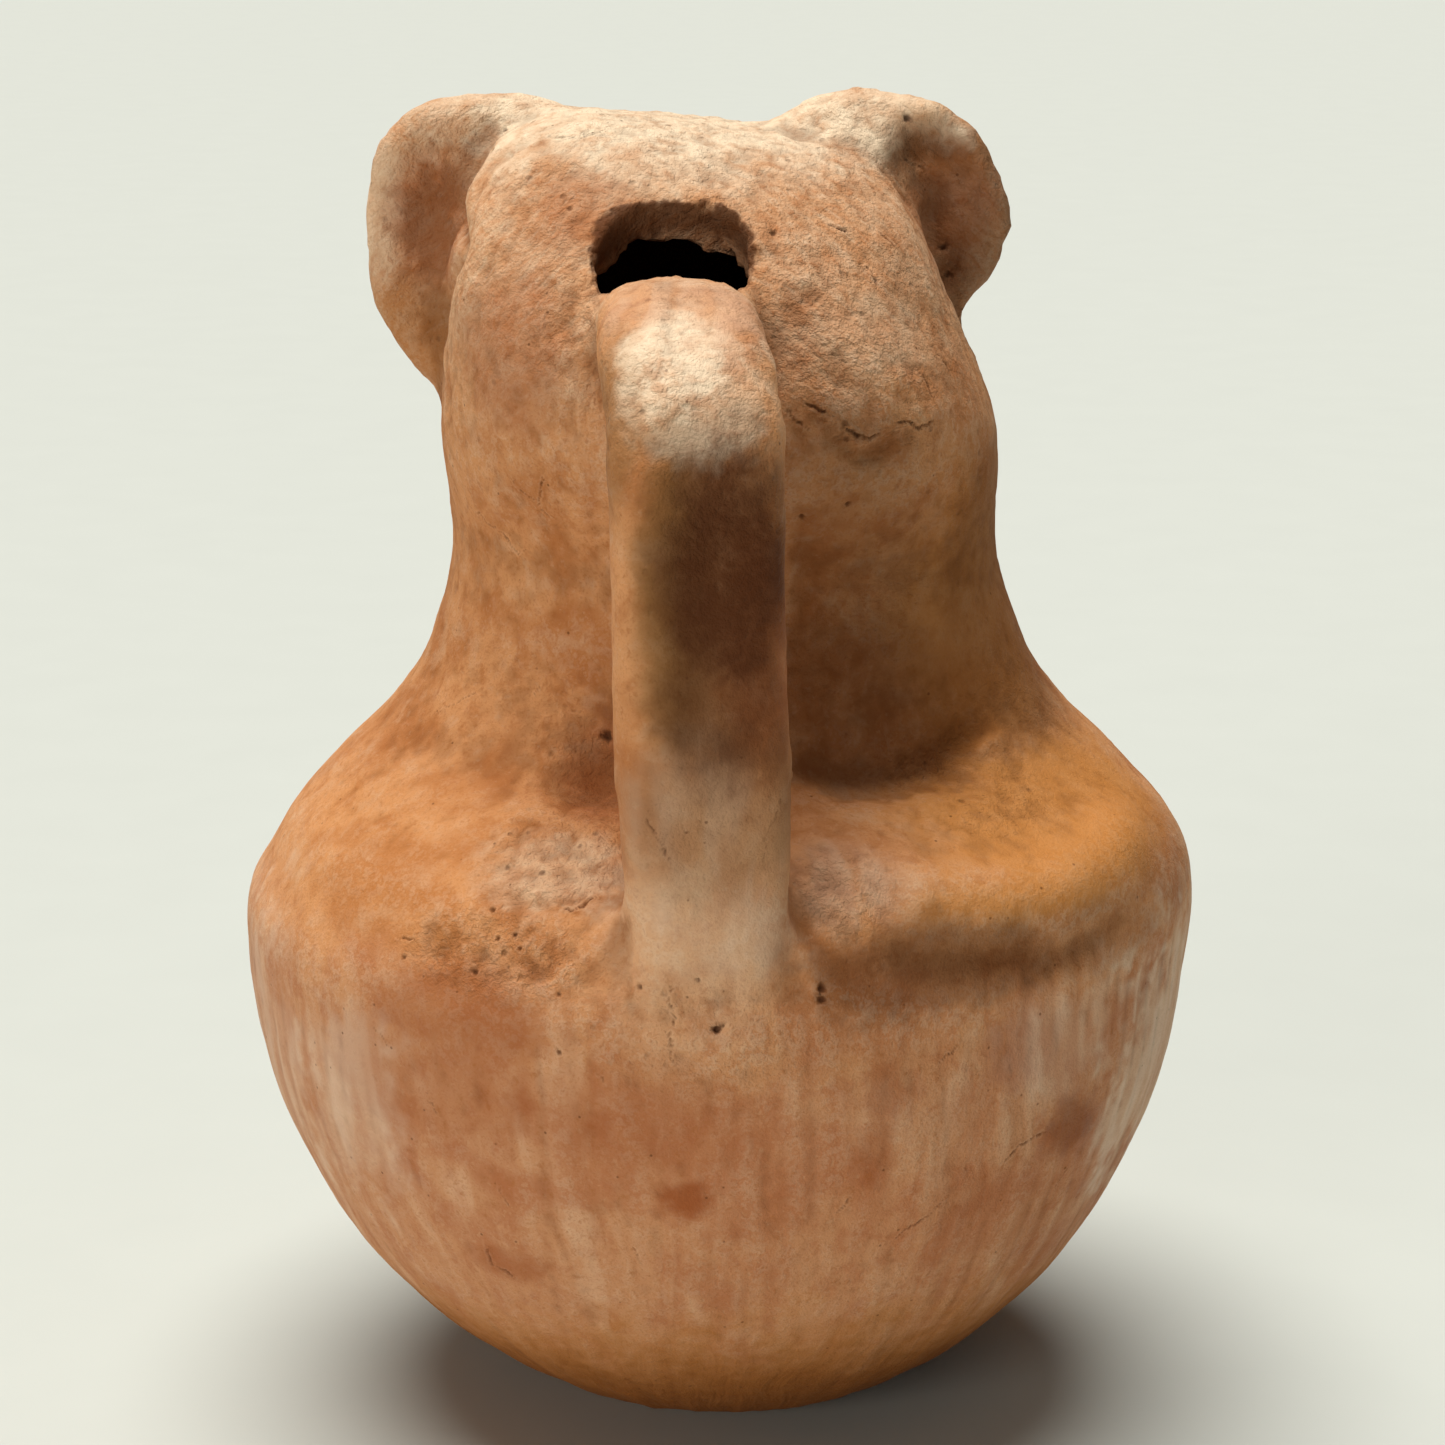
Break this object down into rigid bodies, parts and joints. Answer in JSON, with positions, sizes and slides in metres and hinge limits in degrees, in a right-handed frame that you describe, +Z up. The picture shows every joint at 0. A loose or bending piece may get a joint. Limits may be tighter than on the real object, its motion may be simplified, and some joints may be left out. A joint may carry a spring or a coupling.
{
  "type": "effigy jar",
  "caption": "Hollow fired-clay jar with a round bowl, a wide neck and an eared animal head, a pouring hole in the back of the head and a strap handle.",
  "frame": {"origin": "centre of the small flat foot, on the ground", "axes": "+Z up; -Y towards the handle and the pouring hole, which is the side the picture shows; +Y towards the face; +X to the right in the picture"},
  "size_m": [0.1813, 0.1824, 0.2498],
  "materials": {
    "fired_clay": "unglazed orange-brown earthenware, sandy and matt on the head, softly burnished on the bowl"
  },
  "bodies": {
    "root": {"effigy_jar": "fired_clay"}
  },
  "joints": []
}
